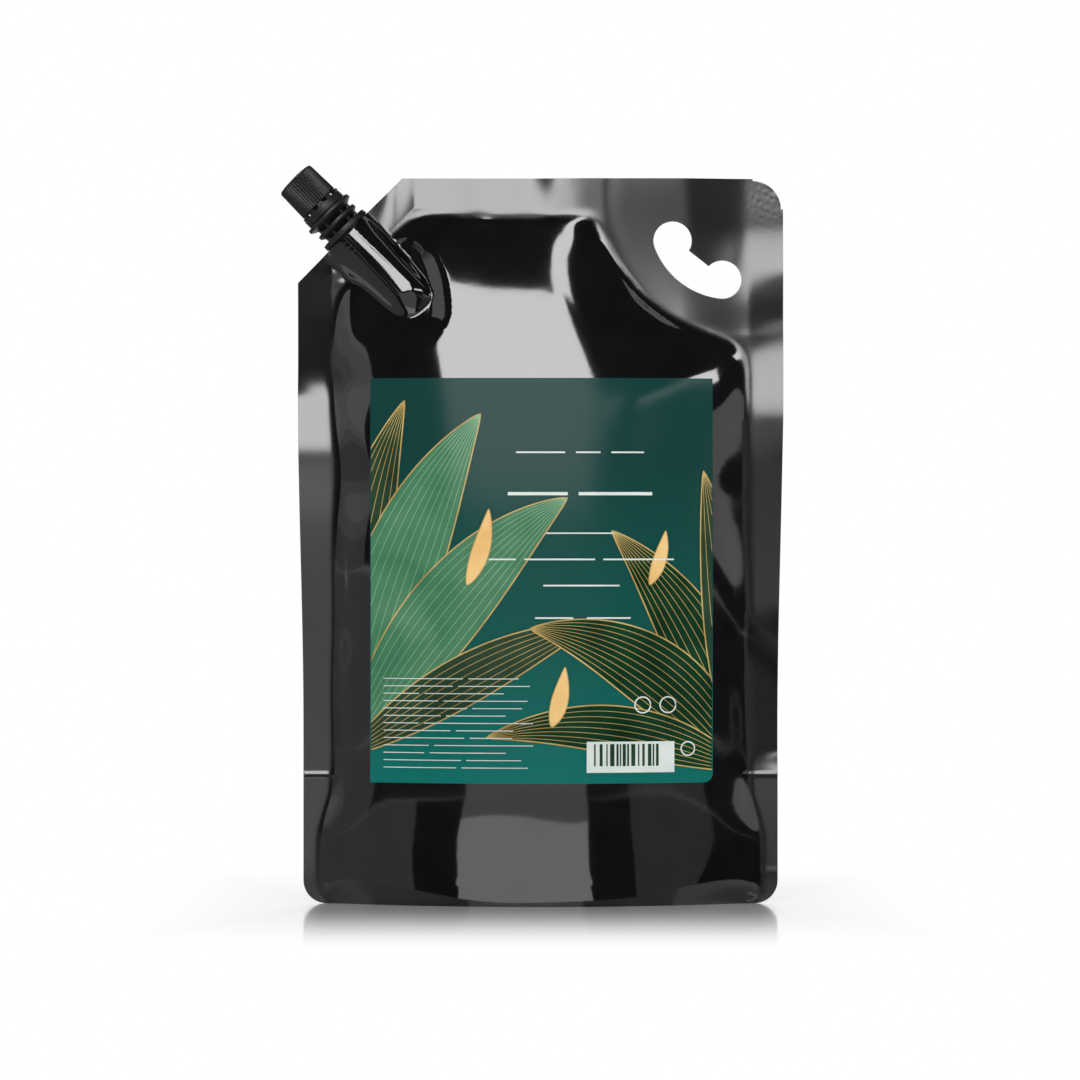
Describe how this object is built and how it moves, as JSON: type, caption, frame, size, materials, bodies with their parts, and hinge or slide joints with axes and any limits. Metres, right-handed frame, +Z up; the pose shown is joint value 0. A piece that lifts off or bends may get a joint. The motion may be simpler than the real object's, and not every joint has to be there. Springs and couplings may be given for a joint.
{
  "type": "shampoo refill pouch",
  "caption": "Glossy black stand-up refill pouch with a corner screw spout, ribbed cap with tamper band, die-cut carry hole and a green front label.",
  "frame": {"origin": "on the ground, in the middle of the pouch's base, in the plane of the side seams", "axes": "+Z up; the label faces -Y; +X to the right seen from the front, so the spout is at the upper -X corner"},
  "size_m": [0.186, 0.0514, 0.2731],
  "materials": {
    "pouch_film": "glossy black laminated film",
    "fitment_plastic": "moulded black, satin",
    "seal_foam": "pale foam disc",
    "label_print": "glossy printed film, dark green"
  },
  "bodies": {
    "pack": {"pouch": "pouch_film", "label": "label_print", "spout": "fitment_plastic", "tamper_band": "fitment_plastic"},
    "seal": {"cap_seal": "seal_foam"},
    "closure": {"cap": "fitment_plastic"}
  },
  "joints": [
    {"name": "cap_lift", "type": "slide", "parent": "pack", "child": "seal", "axis": [-0.7071, 0, 0.7071], "range_m": [0, 0.008]},
    {"name": "cap_turn", "type": "hinge", "parent": "seal", "child": "closure", "pos_m": [-0.07136, 0, 0.24844], "axis": [-0.7071, 0, 0.7071], "range_deg": [0, 720]}
  ],
  "couplings": [
    {"joint": "cap_turn", "follows": "cap_lift", "rad_per_m": 1570.8}
  ]
}
